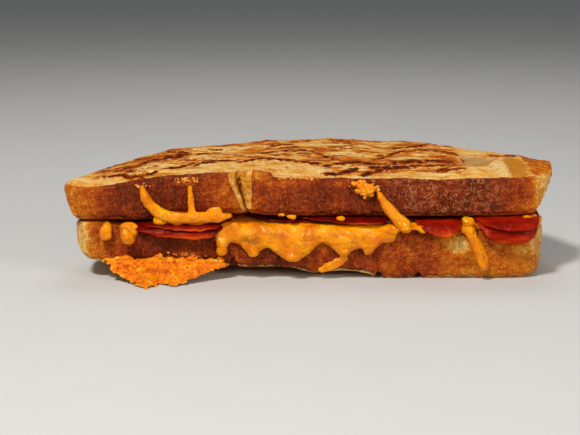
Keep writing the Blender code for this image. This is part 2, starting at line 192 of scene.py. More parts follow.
def finishWith(piece, kind, **settings):
    pick(piece)
    modifier = piece.modifiers.new(kind.title(), kind)
    for name, value in settings.items():
        setattr(modifier, name, value)
    bpy.ops.object.modifier_apply(modifier=modifier.name)


# an even skin of small faces, smoothed that many times
def remesh(piece, voxel, passes):
    finishWith(piece, "REMESH", mode="VOXEL", voxel_size=voxel * millimetre)
    if passes:
        finishWith(piece, "SMOOTH", iterations=passes)


# a merged copy of a CAD node's mesh
def copyOfNode(nodeName, pieceName):
    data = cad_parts[nodeName].data.copy()
    data.name = pieceName
    data.materials.clear()
    piece = addAt((0, 0, 0), data)
    editAll(piece)
    bpy.ops.mesh.remove_doubles(threshold=mergeDistance)
    stopEditing()
    if data.has_custom_normals:
        bpy.ops.mesh.customdata_custom_splitnormals_clear()
    return piece


def readPoints(piece):
    points = np.empty(len(piece.data.vertices) * 3)
    piece.data.vertices.foreach_get("co", points)
    return points.reshape(-1, 3) / millimetre


def readNormals(piece):
    normals = np.empty(len(piece.data.vertices) * 3)
    piece.data.vertex_normals.foreach_get("vector", normals)
    return normals.reshape(-1, 3)


def writePoints(piece, points):
    piece.data.vertices.foreach_set("co", (points * millimetre).ravel())
    piece.data.update()


def setAttributes(piece, **attributes):
    for name, values in attributes.items():
        layer = piece.data.attributes.new(name, "FLOAT", "POINT")
        layer.data.foreach_set("value", np.ascontiguousarray(values, dtype=np.float32))


# one plain patch in place of the fine facets that the filling hides
def patchOver(piece, hidden):
    editAll(piece)
    bpy.ops.mesh.select_mode(type="VERT")
    bpy.ops.mesh.select_all(action="DESELECT")
    stopEditing()
    piece.data.vertices.foreach_set("select", hidden)
    bpy.ops.object.mode_set(mode="EDIT")
    bpy.ops.mesh.delete(type="VERT")
    bpy.ops.mesh.select_non_manifold()
    bpy.ops.mesh.fill(use_beauty=False)
    bpy.ops.mesh.select_all(action="SELECT")
    bpy.ops.mesh.normals_make_consistent(inside=False)
    stopEditing()


# cuts the piece in two at that y, and returns the front part
def splitFront(piece, cut):
    pick(piece)
    bpy.ops.object.duplicate()
    front = bpy.context.object
    for part, away in ((front, {"clear_outer": True}), (piece, {"clear_inner": True})):
        editAll(part)
        flat = inMetres((0, cut, 0))
        bpy.ops.mesh.bisect(plane_co=flat, plane_no=(0, 1, 0), use_fill=True, **away)
        stopEditing()
    return front


def addBall(middle, halfSizes, radius=1, subdivisions=3):
    bpy.ops.mesh.primitive_ico_sphere_add(
        subdivisions=subdivisions, radius=radius * millimetre, location=inMetres(middle), scale=halfSizes,
    )
    bpy.ops.object.transform_apply()
    return bpy.context.object


# soft round lumps, joined on to the piece before it is remeshed: x, y, z and half sizes
def meltIn(piece, lumps):
    joinTo(piece, [addBall(lump[:3], lump[3:]) for lump in lumps])


def settle(piece, look, slotName, *nodeNames):
    pick(piece)
    bpy.ops.object.shade_smooth()
    piece.data.materials.append(look)
    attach(piece, "root")
    if nodeNames:
        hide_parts(*nodeNames)
    print("made", piece.name, len(piece.data.polygons))


# Handling materials. As an input, a name stands for the attribute of that name.
def paint(red, green, blue):  # a colour given as on a screen, from 0 to 255
    shares = [value / 255 for value in (red, green, blue)]
    linear = [share / 12.92 if share <= 0.04045 else ((share + 0.055) / 1.055) ** 2.4 for share in shares]
    return (*linear, 1)


def newMaterial(name):
    material = bpy.data.materials.new(name)
    material.use_nodes = True
    addNode(material.node_tree, "ShaderNodeTexCoord", {}, name="coords")
    return material, material.node_tree


def addNode(tree, kind, inputs, **settings):
    node = tree.nodes.new(kind)
    for name, value in settings.items():
        setattr(node, name, value)
    setInputs(tree, node, inputs)
    return node


def setInputs(tree, node, inputs):
    for socket, value in inputs.items():
        if isinstance(value, str):
            value = addNode(tree, "ShaderNodeAttribute", {}, attribute_name=value).outputs["Fac"]
        if isinstance(value, bpy.types.NodeSocket):
            tree.links.new(value, node.inputs[socket])
        else:
            node.inputs[socket].default_value = value


def setShader(tree, **inputs):
    named = {name.replace("_", " "): value for name, value in inputs.items()}
    setInputs(tree, tree.nodes["Principled BSDF"], named)


def noiseOf(tree, size, detail=3, roughness=0.55, stretch=None):
    coords = tree.nodes["coords"].outputs["Object"]
    if stretch:
        scale = tuple(1 / share for share in stretch)
        coords = addNode(tree, "ShaderNodeMapping", {"Vector": coords, "Scale": scale}).outputs[0]
    inputs = {"Vector": coords, "Scale": 1 / (size * millimetre), "Detail": detail, "Roughness": roughness}
    return addNode(tree, "ShaderNodeTexNoise", inputs).outputs["Fac"]


def rangeOf(tree, value, low, high, toLow=0, toHigh=1):
    inputs = {"Value": value, "From Min": low, "From Max": high, "To Min": toLow, "To Max": toHigh}
    return addNode(tree, "ShaderNodeMapRange", inputs, interpolation_type="SMOOTHSTEP").outputs[0]


# 1 at scattered dots, 0 away from them
def spotsOf(tree, size, near, far):
    inputs = {"Vector": tree.nodes["coords"].outputs["Object"], "Scale": 1 / (size * millimetre)}
    distance = addNode(tree, "ShaderNodeTexVoronoi", inputs).outputs["Distance"]
    return rangeOf(tree, distance, near, far, 1, 0)


def maths(tree, operation, *values):
    return addNode(tree, "ShaderNodeMath", dict(enumerate(values)), operation=operation).outputs[0]


def scaled(tree, value, factor, plus=0):
    return maths(tree, "MULTIPLY_ADD", value, factor, plus)


# 1 along thin wandering creases, 0 between them
def creasesOf(tree, size, width, stretch=None):
    away = maths(tree, "SUBTRACT", noiseOf(tree, size, 2, 0.5, stretch), 0.5)
    return rangeOf(tree, maths(tree, "ABSOLUTE", away), 0, width, 1, 0)


# value plus that much of a noise around its middle
def varied(tree, value, noise, amount):
    return scaled(tree, maths(tree, "SUBTRACT", noise, 0.5), amount, value)


# a layer is its share and its colour, which goes over the colours below it
def laidOver(tree, colour, *layers):
    for share, tone in layers:
        first, second = [paint(*one) if isinstance(one, tuple) else one for one in (colour, tone)]
        colour = addNode(tree, "ShaderNodeMix", {0: share, 6: first, 7: second}, data_type="RGBA").outputs[2]
    return colour


def rampOf(tree, value, stops):
    node = addNode(tree, "ShaderNodeValToRGB", {"Fac": value})
    elements = node.color_ramp.elements
    while len(elements) < len(stops):
        elements.new(0.5)
    for element, (position, colour) in zip(elements, stops):
        element.position = position
        element.color = paint(*colour)
    return node.outputs["Color"]


# bumps on top of each other: each is a pattern and its depth
def bumpOf(tree, *layers):
    below = {}
    for height, depth in layers:
        inputs = {"Height": height, "Distance": depth * millimetre, "Strength": 1, **below}
        below = {"Normal": addNode(tree, "ShaderNodeBump", inputs).outputs["Normal"]}
    return below["Normal"]


# Bread: colours by how far each part is baked, all as on a screen.
breadFinish = {
    "voxel": 0.57,
    "skin": (
        (0, (255, 212, 124)), (0.11, (242, 160, 48)), (0.22, (222, 134, 20)), (0.38, (200, 94, 6)),
        (0.6, (158, 52, 3)), (0.82, (116, 28, 2)), (1, (86, 16, 1)),
    ),
    "crumb": (
        (0.06, (255, 218, 144)), (0.22, (250, 186, 88)), (0.42, (234, 142, 26)), (0.64, (200, 94, 4)),
        (0.92, (142, 52, 2)),
    ),
    "scorched": (190, 84, 4), "charred": (126, 40, 2), "blackened": (60, 15, 2), "amber": (206, 130, 0),
    # the first colour on this line is for painted glints, a painted highlight
    "frost": (212, 146, 102), "fleck": (222, 130, 46), "hollowGrey": (178, 128, 76), "pale": (255, 232, 172),
    # the first two colours on this line are painted shade: in cracks and pores, and in the slit of the break
    "gap": (150, 66, 6), "slit": (162, 98, 34), "stain": (250, 128, 0), "mound": (254, 214, 142),
}


# the crust: its baked colour, paler threads and glints painted as highlights on its wrinkles (strongest
# where it also looks floured), and painted shade in its hollows
def skinColour(tree, settings, mottled, grainy, fineThreads):
    upright = noiseOf(tree, 2.4, 3, 0.6, (1, 1, 3.2))
    uneven, level = scaled(tree, "baked", 0.75, 0.25), "baked"
    for noise, amount in ((upright, 0.85), (mottled, 0.75)):
        level = varied(tree, level, noise, scaled(tree, uneven, amount))
    level = varied(tree, level, grainy, 0.2)
    for mark, amount in (("hollow", 0.16), (creasesOf(tree, 1.7, 0.055), -0.15), (fineThreads, -0.1)):
        level = scaled(tree, mark, amount, level)
    flecks = rangeOf(tree, noiseOf(tree, 0.8, 2, 0.6), 0.6, 0.74, 0, 0.6)
    glints = rangeOf(tree, noiseOf(tree, 0.55, 2, 0.7), 0.57, 0.7)
    # painted highlights: pale glints on the wrinkles, strongest in the stretch that also looks floured
    glints = scaled(tree, maths(tree, "MAXIMUM", glints, fineThreads), scaled(tree, "frost", 0.85, 0.1))
    skin = rampOf(tree, level, settings["skin"])
    return laidOver(tree, skin, (flecks, settings["fleck"]), (glints, settings["frost"]))


# the toasted face: pale flakes in the crumb with painted shade in the cracks, what has soaked in, the char
# on top, and painted shade in the pores and in the break
def crumbColour(tree, settings):
    broad = noiseOf(tree, 5, 4, 0.6, (2, 1, 1))
    flaky = noiseOf(tree, 1.3, 4, 0.68, (1.7, 1, 1))
    level = varied(tree, "toast", broad, 0.9)
    level = varied(tree, level, flaky, scaled(tree, "toast", 1.3, 0.15))
    # painted shade in the cracks between the flakes
    gaps = scaled(tree, creasesOf(tree, 2.4, 0.05, (2.2, 1, 1)), "toast")
    flakes = rangeOf(tree, noiseOf(tree, 0.9, 2, 0.6, (1.6, 1, 1)), 0.6, 0.72, 0, 0.6)
    flakes = scaled(tree, flakes, rangeOf(tree, "toast", 0.3, 0.55, 1, 0.45))
    paler = rangeOf(tree, broad, 0.35, 0.65, 0, 0.22)
    tones = {**settings, "recess": laidOver(tree, settings["hollowGrey"], (paler, settings["pale"]))}
    layers = [(rangeOf(tree, gaps, 0.05, 0.6, 0, 0.8), "gap"), (flakes, "pale"), ("mound", "mound")]
    # how much of each mark is left between the flakes
    for name, least in (("recess", 0.8), ("amber", 0.9), ("stain", 0.15)):
        layers.append((scaled(tree, name, rangeOf(tree, flaky, 0.36, 0.58, least, 1)), name))
    char = varied(tree, "char", noiseOf(tree, 1.1, 4, 0.7, (1.4, 1, 1)), 2)
    for low, high, name in ((0.14, 0.42, "scorched"), (0.44, 0.66, "charred"), (0.76, 1, "blackened")):
        layers.append((rangeOf(tree, char, low, high), name))
    # painted shade: in the pores and between the fibres, and in the slit of the break
    layers += [(scaled(tree, "hollow", 0.6), "gap"), ("slit", "slit")]
    crumb = rampOf(tree, level, settings["crumb"])
    return laidOver(tree, crumb, *((share, tones[name]) for share, name in layers))


def breadMaterial(settings):
    material, tree = newMaterial("toastedBread")
    mottled = noiseOf(tree, 1.9, 4, 0.62)
    grainy = noiseOf(tree, 0.6, 3, 0.65)
    fineThreads = creasesOf(tree, 1, 0.08, (1, 1, 1.6))
    skin = rangeOf(tree, "crust", 0.4, 0.6), skinColour(tree, settings, mottled, grainy, fineThreads)
    rough = scaled(tree, "amber", -0.3, rangeOf(tree, "crust", 0.3, 0.7, 0.95, 0.27))
    setShader(
        tree, Base_Color=laidOver(tree, crumbColour(tree, settings), skin), Roughness=rough,
        Normal=bumpOf(tree, (grainy, 0.42), (mottled, 0.9), (fineThreads, 0.22)),
        Specular_IOR_Level=0.3, Specular_Tint=(1, 0.56, 0.3, 1),
    )
    return material


# the lowest and highest value in each stretch of a slice
def edgesAlong(x, values, along, reach):
    order = np.argsort(x)
    bounds = np.searchsorted(x[order], np.append(along - reach, along[-1] + reach))
    columns = [values[order[start:end]] for start, end in zip(bounds, bounds[1:])]
    return np.array([column.min() for column in columns]), np.array([column.max() for column in columns])


# the slice's front and back edge for every mm along it
def outlineOf(points):
    x, y, _ = points.T
    along = np.arange(math.ceil(x.min()), math.floor(x.max()) + 1.0)
    return along, *edgesAlong(x, y, along, 0.5)


# the height of the crust's foot for every 2 mm along it
def lowEdgeOf(points, fromFront):
    x, _, z = points[fromFront < 2].T
    along = np.arange(x.min() + 1.0, x.max(), 2.0)
    return along, edgesAlong(x, z, along, 1)[0]


# The toasting: each streak is its width, its strength, and the (x, y) it runs through.
charStreaks = (
    (1.1, 1, ((-88, -34), (-84, -35), (-79, -36), (-74, -39), (-70, -40), (-66, -39), (-61, -36),
        (-56, -32), (-51, -28), (-46, -24), (-41, -21), (-33, -19))),
    (1, 1, ((-48, -29), (-45, -24), (-41, -23))),
    (1.2, 1, ((-29, -22), (-25, -18), (-20, -15), (-15, -15), (-8, -17), (-2, -21), (4, -24))),
    (2.6, 0.65, ((-87, -26), (-83, -27), (-79, -29), (-75, -32), (-71, -34))),
    (2.6, 0.8, ((-81, -26), (-76, -25), (-72, -26))),
    (5, 0.8, ((-71, -21), (-68, -14), (-63, -10), (-57, -7), (-53, -5))),
    (1.5, 1, ((-70, -19), (-67, -13), (-61, -10), (-56, -8))),
    (3.8, 0.9, ((-91, -15), (-88, -9), (-85, -6))),
    (1.8, 1, ((-61, 3), (-57, 2), (-54, 0))),
    (1.4, 0.8, ((-48, -4), (-44, 0), (-40, 3))),
    (1.2, 0.9, ((-21, -1), (-16, 3), (-10, 5), (-6, 5))),
    (1.4, 1, ((-10, 7), (-6, 9), (0, 6), (4, -1), (7, -9), (10, -14))),
    (2.4, 0.7, ((-20, 24), (-14, 25), (-8, 24))),
    (1.2, 0.8, ((10, 13), (15, 15), (20, 20))),
    (1.6, 1, ((6, -29), (11, -24), (16, -21), (22, -21), (26, -23), (31, -27))),
    (1.4, 1, ((7, -38), (11, -38), (17, -34), (20, -31))),
    (1.5, 1, ((22, -39), (27, -35), (32, -32), (37, -31))),
    (1.5, 0.9, ((25, -30), (31, -31), (37, -25))),
    (1.6, 0.9, ((28, -15), (35, -3), (41, 5), (43, 6))),
    (1.5, 1, ((39, 15), (44, 17), (48, 18), (53, 22))),
    (2.4, 1, ((36, -23), (43, -20), (49, -19), (56, -19), (60, -21))),
    (1.5, 1, ((36, -31), (43, -28), (51, -27), (56, -27))),
    (1.2, 0.8, ((51, -35), (58, -33), (64, -33))),
    (2.4, 0.75, ((50, 9), (55, 6), (60, 1), (65, -2), (66, -12))),
    (4, 0.5, ((57, 34), (62, 31), (66, 25))),
    (2.4, 0.6, ((79, -5), (82, -8), (87, -8), (92, -6), (96, -9))),
)
# where melted cheese has soaked in: middle x and y, half width along each
amberStains = ((86.3, -29, 4.6, 19), (-62, -40.5, 8, 1.6), (-50, -33, 5, 1.6))
orangeStains = ((-27, 4, 4.5, 6), (17, -13, 3.5, 2), (57, -9, 5, 3.5), (55, 18, 6, 4))
# where the pan touched: its front edge from left to right, and its ends
panEdge = (
    (-92, -34), (-68, -36), (-58, -31), (-44, -22), (-34, -20), (-25, -18), (-20, -15), (-9, -14),
    (5, -23), (8, -35), (12, -37), (48, -37), (58, -34), (66, -32),
)
# the large hollow and lumps at the right: middle x and y, half widths, rise
topDents = {
    "recess": (71.5, -16, 8, 13, -1.3), "mound": (79.5, -31, 4.6, 12, 1.3),
    "lump": (68, -37, 6, 5, 0.4),
}
# the break: its sides and slit as x at the foot and at the top, and how far back it goes
breakSides = {
    "heights": (27.5, 43), "left": (-27.4, -33.6), "right": (-24.2, -23.8), "deep": 13,
    "slit": (-25.6, -30.6), "slitWidth": 0.5, "slitDepth": 1.5,
}
# the rim that stands up beside the break: between which x, how near the front and how high up
raisedRim = {
    "left": (-25.5, -24.2), "right": (-14.8, -16.2), "front": (6, 0.5), "height": (36, 43), "rise": 2,
}
crumbLips = (  # torn crumb that still hangs in the break: top and foot x, y, z and the top's half width
    ((-32.6, -42.6, 45.2), (-27.6, -43.9, 31), 1.2),
    ((-27.6, -42, 45.8), (-25.2, -43.6, 30), 2),
)
# corners that stand out sharply: the middle, its reach, and how far it is pulled
sharpCorners = (
    ((100.5, -24, 42), (5, 9, 7), (1.6, 0, 1.9)),
    ((-99, -40, 37.5), (4.5, 6, 4), (-1, 0, 1)),
)

# Each slice: how dark its crust is and how far its foot sags at each x, between which x it has painted
# glints and looks floured (the lower one nowhere), and its paler patches as x, z, half sizes and how much
# paler.
upperBread = {
    "dark": ((-100, 0.14), (-93, 0.28), (-86, 0.54), (-80, 0.78), (-60, 0.8), (-42, 0.66), (-34, 0.5),
        (-24, 0.52), (-18, 0.62), (0, 0.68), (14, 0.66), (28, 0.8), (36, 0.74), (60, 0.84), (72, 0.76),
        (80, 0.6), (90, 0.42), (94, 0.08), (98, 0)),
    "frost": (34, 78), "seed": 3, "sag": ((0, 0),),
    "randomStreaks": 80, "streakArea": (-82, 58, -34, 48), "listedStreaks": charStreaks,
    "dents": topDents, "stains": (("amber", 0.95, amberStains), ("stain", 0.9, orangeStains)),
    "palePatches": (
        (-51, 40.8, 4.6, 1.7, 0.4), (-20.2, 43.6, 4.6, 2.6, 0.36), (-10.6, 40.6, 8, 2, 0.3),
        (-36, 36, 3, 6, 0.18), (-30.4, 32, 2.6, 4, 0.28), (12, 40, 5, 1.4, 0.26),
    ),
}
lowerBread = {
    "dark": ((-95, 0), (-93, 0.1), (-90, 0.32), (-86, 0.42), (-80, 0.58), (-74, 0.74), (-40, 0.76),
        (-30, 0.66), (-12, 0.74), (5, 0.46), (16, 0.6), (26, 0.64), (31, 0.48), (48, 0.46), (60, 0.34),
        (76, 0.32), (88, 0.26), (95, 0.14)),
    "frost": (200, 201), "seed": 41,
    "sag": ((-98, 0.5), (-92, 1.6), (-86, 2.4), (-78, 2), (-66, 1.6), (-55, 1.3), (-45, 1), (-36, 1.4),
        (-28, 1.5), (-18, 1), (-8, 0.7), (-3, 1.6), (1, 2.4), (5, 1.6), (10, 0.8), (19, 0.2), (25, 0.8),
        (30, 0.6), (36, 0)),
    "randomStreaks": 110, "streakArea": (-82, 80, -36, 46), "listedStreaks": (),
    "dents": {}, "stains": (),
    "palePatches": (
        (61, 14, 5.6, 4.2, 0.48), (87.4, 12.4, 4, 2, 0.22), (-50.5, 10.8, 7, 1.6, 0.3),
        (-71, 21.6, 5, 2, 0.26),
    ),
}


# Both slices' shape, in mm: each layer of unevenness is its height and the size of its lumps.
breadShape = {
    "smoothing": 5, "hiddenFrom": 9, "faceTurn": (0.7, 0.84), "lowest": 0.02,
    "rag": ((0.1, 3), (0.06, 1.2)), "uneven": ((1.6, (9, 5, 9)), (0.7, 2.5)),
    "patchy": ((0.5, (20, 8, 20)), (0.46, (6, 2, 6))), "stray": ((1, 5), (0.9, 1.6)),
    "lumps": ((0.4, 14), (0.26, 5)), "wrinkleSize": 2.2, "crestSize": (3.4, 3.4, 2.2),
    "largePores": 3.1, "smallPores": 1.8, "fibres": ((0.6, (1.6, 1.6, 6)), (0.3, 1.3)),
    "paleEndFrom": (90, 92.5),
}


# how charred each point is, and how far the flaky lip behind a streak stands up
def streaksAt(points, streaks):
    char, lip = np.zeros(len(points)), np.zeros(len(points))
    stray = layered(points, 21, breadShape["stray"])
    thick = np.clip(1 + 1.2 * softNoise(points, 2.6, 23), 0.3, 2)
    whole = 0.45 + 0.55 * ease(-0.5, -0.1, softNoise(points, (4, 3, 4), 24))
    for width, strength, route in streaks:
        beyond = np.maximum(0, np.maximum(route[0][0] - points[:, 0], points[:, 0] - route[-1][0]))
        fade = np.clip(1 - beyond / 3, 0, 1)
        past = points[:, 1] - readTable(route, points[:, 0]) + stray
        core = np.exp(-((past / (width * thick)) ** 2))
        halo = np.exp(-((past / (3 * width * thick)) ** 2))
        char = np.maximum(char, strength * whole * fade * (0.7 * core + 0.3 * halo))
        lip += strength * fade * ease(-0.7, 0.8, past) * np.exp(-np.clip(past, 0, None) / 4)
    return char, np.minimum(lip, 1.4)


def randomStreaks(count, seed, left, right, front, back):
    dice = np.random.default_rng(seed)
    streaks = []
    for _ in range(count):
        x, y = dice.uniform(left, right), dice.uniform(front, back)
        length, rise = dice.uniform(3, 10), dice.normal(0, 1.4)
        route = ((x, y), (x + length / 2, y + rise), (x + length, y + 2 * rise + dice.normal(0, 1)))
        streaks.append((dice.uniform(0.6, 1.1), dice.uniform(0.3, 0.9), route))
    return streaks


def addCrumbLips(piece):
    made = []
    for top, foot, halfWidth in crumbLips:
        top, foot = np.array(top), np.array(foot)
        bpy.ops.mesh.primitive_cone_add(
            vertices=10, radius1=0.35 * millimetre, radius2=halfWidth * millimetre,
            depth=(top[2] - foot[2]) * millimetre, location=inMetres((top + foot) / 2),
        )
        bpy.ops.object.transform_apply()
        lip = bpy.context.object
        points = readPoints(lip)
        middle = (top + foot) / 2
        share = (points[:, 2] - middle[2]) / (top[2] - foot[2])
        points[:, 0] += share * (top[0] - foot[0])
        points[:, 1] = middle[1] + (points[:, 1] - middle[1]) * 1.6 + share * (top[1] - foot[1])
        writePoints(lip, points)
        made.append(lip)
    joinTo(piece, made)


# each point of a slice: how far it faces outwards, and how far from the edges it lies
def whereOnSlice(piece, outline, outward):
    points, normals = readPoints(piece), readNormals(piece)
    x, y, _ = points.T
    along, front, back = outline
    fromFront = y - np.interp(x, along, front)
    return types.SimpleNamespace(
        points=points, normals=normals, outer=normals[:, 2] * outward, fromFront=fromFront,
        fromBack=np.interp(x, along, back) - y, fromEnd=np.minimum(x - along[0], along[-1] - x),
        lowEdge=lowEdgeOf(points, fromFront),
    )


# 1 inside the break and 0 elsewhere
def tornAt(spots):
    x, _, z = spots.points.T
    heights, deep = breakSides["heights"], breakSides["deep"]
    left, right = [
        np.interp(z, heights, breakSides[side]) + 0.4 * softNoise(spots.points, 2, seed)
        for side, seed in (("left", 7), ("right", 8))
    ]
    torn = ease(-0.4, 0.4, x - left) * ease(0.4, -0.4, x - right)
    torn *= ease(deep + 4, deep, spots.fromFront)
    torn *= ease(heights[0] - 0.5, heights[0] + 0.5, z) * ease(0.95, 0.8, spots.outer)
    return torn


# the rim beside the break stands up, and the corners are pulled out
def shapeRim(spots):
    points = spots.points
    x, _, z = points.T
    ranges = (("left", x), ("right", x), ("front", spots.fromFront), ("height", z))
    points[:, 2] += raisedRim["rise"] * math.prod(ease(*raisedRim[name], values) for name, values in ranges)
    for middle, reach, pull in sharpCorners:
        share = np.exp(-(((points - middle) / reach) ** 2).sum(axis=1))
        points += share[:, None] * pull


# the outer face's own marks: its hollow and lumps, and where melted cheese has soaked in
def marksAt(spots, face, uneven, settings):
    points = spots.points
    x, y, _ = points.T
    marks = {name: np.zeros(len(points)) for name in ("dents", "recess", "mound", "amber", "stain")}
    for name, (dentX, dentY, halfX, halfY, rise) in settings["dents"].items():
        away = np.hypot((x - dentX) / halfX, (y - dentY) / halfY) + 0.09 * uneven
        marks["dents"] += rise * ease(1.1, 0.6, away) * face
        if name == "recess":
            edge = away + 0.06 * softNoise(points, 2, settings["seed"] + 21)
            marks[name] = ease(1.15, 0.7, edge) * face
        if name == "mound":
            marks[name] = 0.75 * ease(1.1, 0.7, away) * face
    for name, strength, places in settings["stains"]:
        for markX, markY, halfX, halfY in places:
            away = ((x - markX) / halfX) ** 2 + ((y - markY) / halfY) ** 2
            share = strength * ease(1.4, 0.4, away + 0.25 * uneven) * face
            marks[name] = np.maximum(marks[name], share)
    return marks


# how toasted and charred the outer face is, and how far the flakes behind the char stand up
def toastingOf(spots, face, uneven, settings, isUpper):
    points, seed = spots.points, settings["seed"]
    x, y, _ = points.T
    contact = ease(4, 9, spots.fromBack + uneven)
    if isUpper:
        contact *= ease(-0.5, 2, y - readTable(panEdge, x) + uneven)
        contact *= ease(67, 63, x + uneven)
        contact *= ease(-93, -89, x + uneven)
    else:
        contact *= ease(5, 10, spots.fromFront + uneven)
        contact *= ease(5, 10, spots.fromEnd + uneven)
    streaks = randomStreaks(settings["randomStreaks"], seed, *settings["streakArea"])
    scattered, listed = streaksAt(points, streaks), streaksAt(points, settings["listedStreaks"])
    char, lip = [np.maximum(one * contact, other) * face for one, other in zip(scattered, listed)]
    patchy = 0.18 + layered(points, seed + 5, breadShape["patchy"])
    touched = np.clip(softNoise(points, (8, 3, 8), seed + 20), 0, 1) * (1 - contact)
    toast = np.clip(0.17 + contact * np.clip(patchy, -0.1, 0.8) + 0.3 * touched, 0, 1)
    return toast, char, lip


# open pores in the crumb: large ones, and small ones between them
def poresAt(points, seed):
    near, chance = scatteredDots(points, breadShape["largePores"], seed)
    size = 0.14 + 0.34 * chance
    pores = ease(size, size * 0.4, near) * (chance > 0.45)
    near, chance = scatteredDots(points, breadShape["smallPores"], seed + 1)
    return np.maximum(pores, 0.6 * ease(0.45, 0.2, near) * (chance > 0.55))


# the slit in the middle of the break, pressed in and painted with shade
def slitAt(points, torn):
    x, _, z = points.T
    middle = np.interp(z, breakSides["heights"], breakSides["slit"])
    middle = middle + 0.5 * softNoise(points, (9, 9, 3), 6)
    return torn * np.exp(-(((x - middle) / breakSides["slitWidth"]) ** 2)) * ease(43.5, 40, z)


# crests, flakes, pores and fibres, and painted shade between the crests, in the pores and between the torn
# fibres
def addRelief(spots, crust, face, torn, char, lip, marks, seed):
    points, rest = spots.points, 1 - marks["recess"]
    wrinkles = softNoise(points, breadShape["wrinkleSize"], seed + 9)
    crests = ridges(points, breadShape["crestSize"], seed + 10)
    crustRelief = layered(points, seed + 7, breadShape["lumps"]) + 0.22 * wrinkles + 0.36 * (crests - 0.4)
    pores = poresAt(points, seed + 11) * rest
    faceRelief = 0.3 * softNoise(points, (24, 10, 24), seed + 13) + 0.12 * wrinkles
    faceRelief += 0.24 * softNoise(points, (6, 3, 6), seed + 14) * rest
    faceRelief += 0.5 * (lip - 0.5) - 0.5 * pores * (1 - 0.6 * char) + marks["dents"]
    slit = slitAt(points, torn)
    points[:, 1] += breakSides["slitDepth"] * slit
    fibres = layered(points, seed + 15, breadShape["fibres"])
    shift = crust * crustRelief + face * faceRelief + torn * fibres
    # painted shade in the hollows
    hollow = np.clip(crust * (0.4 - crests) * 1.6, 0, 1) + face * pores * 0.7
    hollow += torn * np.clip(-fibres, 0, 1)
    points += spots.normals * shift[:, None]
    return wrinkles, crests, slit, hollow


# the crust's foot: ragged, and let down where it sags
def shapeFoot(spots, settings):
    points, fromFront = spots.points, spots.fromFront
    x, _, z = points.T
    lowEdge = np.interp(x, *spots.lowEdge)
    foot = ease(2.5, 0.5, np.abs(z - lowEdge)) * ease(3, 1, fromFront)
    points[:, 2] += 1.6 * foot * np.abs(softNoise(points * (1, 0.3, 0), 3, settings["seed"] + 19))
    points[:, 2] -= readTable(settings["sag"], x) * ease(9, 1, z - lowEdge) * ease(16, 4, fromFront)
    points[:, 2] = np.maximum(points[:, 2], breadShape["lowest"])


# how far the crust is baked, and how strong the painted glints on its crests are where it also looks floured
def crustTonesAt(spots, settings, wrinkles, crests):
    points, seed = spots.points, settings["seed"]
    x, _, z = points.T
    baked = 0.08 + readTable(settings["dark"], x) + 0.2 * softNoise(points, (9, 9, 16), seed + 17)
    for patchX, patchZ, halfX, halfZ, paler in settings["palePatches"]:
        away = np.hypot((x - patchX) / halfX, (z - patchZ) / halfZ) + 0.3 * wrinkles
        baked -= paler * ease(1.5, 0.1, away) * (spots.fromFront < 4)
    start, end = settings["frost"]
    frost = ease(start - 6, start + 8, x) * ease(end + 8, end - 8, x)
    frost *= ease(0.1, 0.6, crests + 0.4 * softNoise(points, 6, seed + 18)) * 0.64
    return baked, frost


def makeBread(nodeName, pieceName, settings, isUpper):
    piece = copyOfNode(nodeName, pieceName)
    if isUpper:
        addCrumbLips(piece)
    remesh(piece, breadFinish["voxel"], breadShape["smoothing"])
    outline, outward = outlineOf(readPoints(piece)), 1 if isUpper else -1
    spots = whereOnSlice(piece, outline, outward)
    inner = np.minimum(spots.fromFront, spots.fromBack)
    patchOver(piece, (spots.outer < -0.7) & (inner > breadShape["hiddenFrom"]))

    spots = whereOnSlice(piece, outline, outward)
    points, outer, seed = spots.points, spots.outer, settings["seed"]
    rag = layered(points, seed + 1, breadShape["rag"])
    crust = 1 - ease(*breadShape["faceTurn"], np.abs(spots.normals[:, 2]) + rag)
    torn, paleEnd = np.zeros(len(points)), np.zeros(len(points))
    if isUpper:
        torn = tornAt(spots)
        paleEnd = ease(*breadShape["paleEndFrom"], points[:, 0] + 1.2 * softNoise(points, 3, 9))
        paleEnd *= ease(1, 3, spots.fromFront)
        crust *= 1 - paleEnd
        shapeRim(spots)
    edge = np.minimum(spots.fromFront, spots.fromBack)
    crust = np.maximum(crust, ease(2.2, 1.2, edge) * (outer < 0)) * (1 - torn)
    face = ease(*breadShape["faceTurn"], outer) * (1 - torn)

    uneven = layered(points, seed + 3, breadShape["uneven"])
    marks = marksAt(spots, face, uneven, settings)
    toast, char, lip = toastingOf(spots, face, uneven, settings, isUpper)
    # least toast in the break, at the pale end, and on the faces between the slices, which are glazed golden
    # and partly painted shade
    for place, least in ((torn, 0.32), (paleEnd, 0.58), (ease(0.2, 0.7, -outer), 0.56)):
        toast = np.maximum(toast, least * place)
    wrinkles, crests, slit, hollow = addRelief(spots, crust, face, torn, char, lip, marks, seed)
    shapeFoot(spots, settings)
    writePoints(piece, points)

    baked, frost = crustTonesAt(spots, settings, wrinkles, crests)
    # painted shade in the slit, and half as much deeper back in the break
    behindSlit = 0.5 * ease(3.5, 7, spots.fromFront)
    slit = torn * np.maximum(slit, behindSlit) * ease(46, 42.5, points[:, 2])
    setAttributes(
        piece, crust=crust, baked=baked, toast=toast, char=char, frost=frost, hollow=hollow, slit=slit,
        recess=marks["recess"] * 0.85, mound=marks["mound"], amber=marks["amber"], stain=marks["stain"],
    )
    return piece


breadLook = breadMaterial(breadFinish)
slices = []
for nodeName, pieceName, settings, isUpper in (
    ("bread_upper", "upperSlice", upperBread, True),
    ("bread_lower", "lowerSlice", lowerBread, False),
):
    piece = makeBread(nodeName, pieceName, settings, isUpper)
    settle(piece, breadLook, "crust", nodeName)
    slices.append(piece)


# Melted cheese. Behind the cut it stays as it is; in front of it, it is remeshed, with lumps melted in.
meltedFinish = {
    "colours": ((0.28, (214, 102, 0)), (0.5, (238, 138, 0)), (0.72, (255, 170, 6))), "speck": (110, 44, 8),
    "browned": (160, 84, 12), "voxel": 0.42, "inflate": 0.22, "edgeBulge": 0.4, "cut": -37,
}
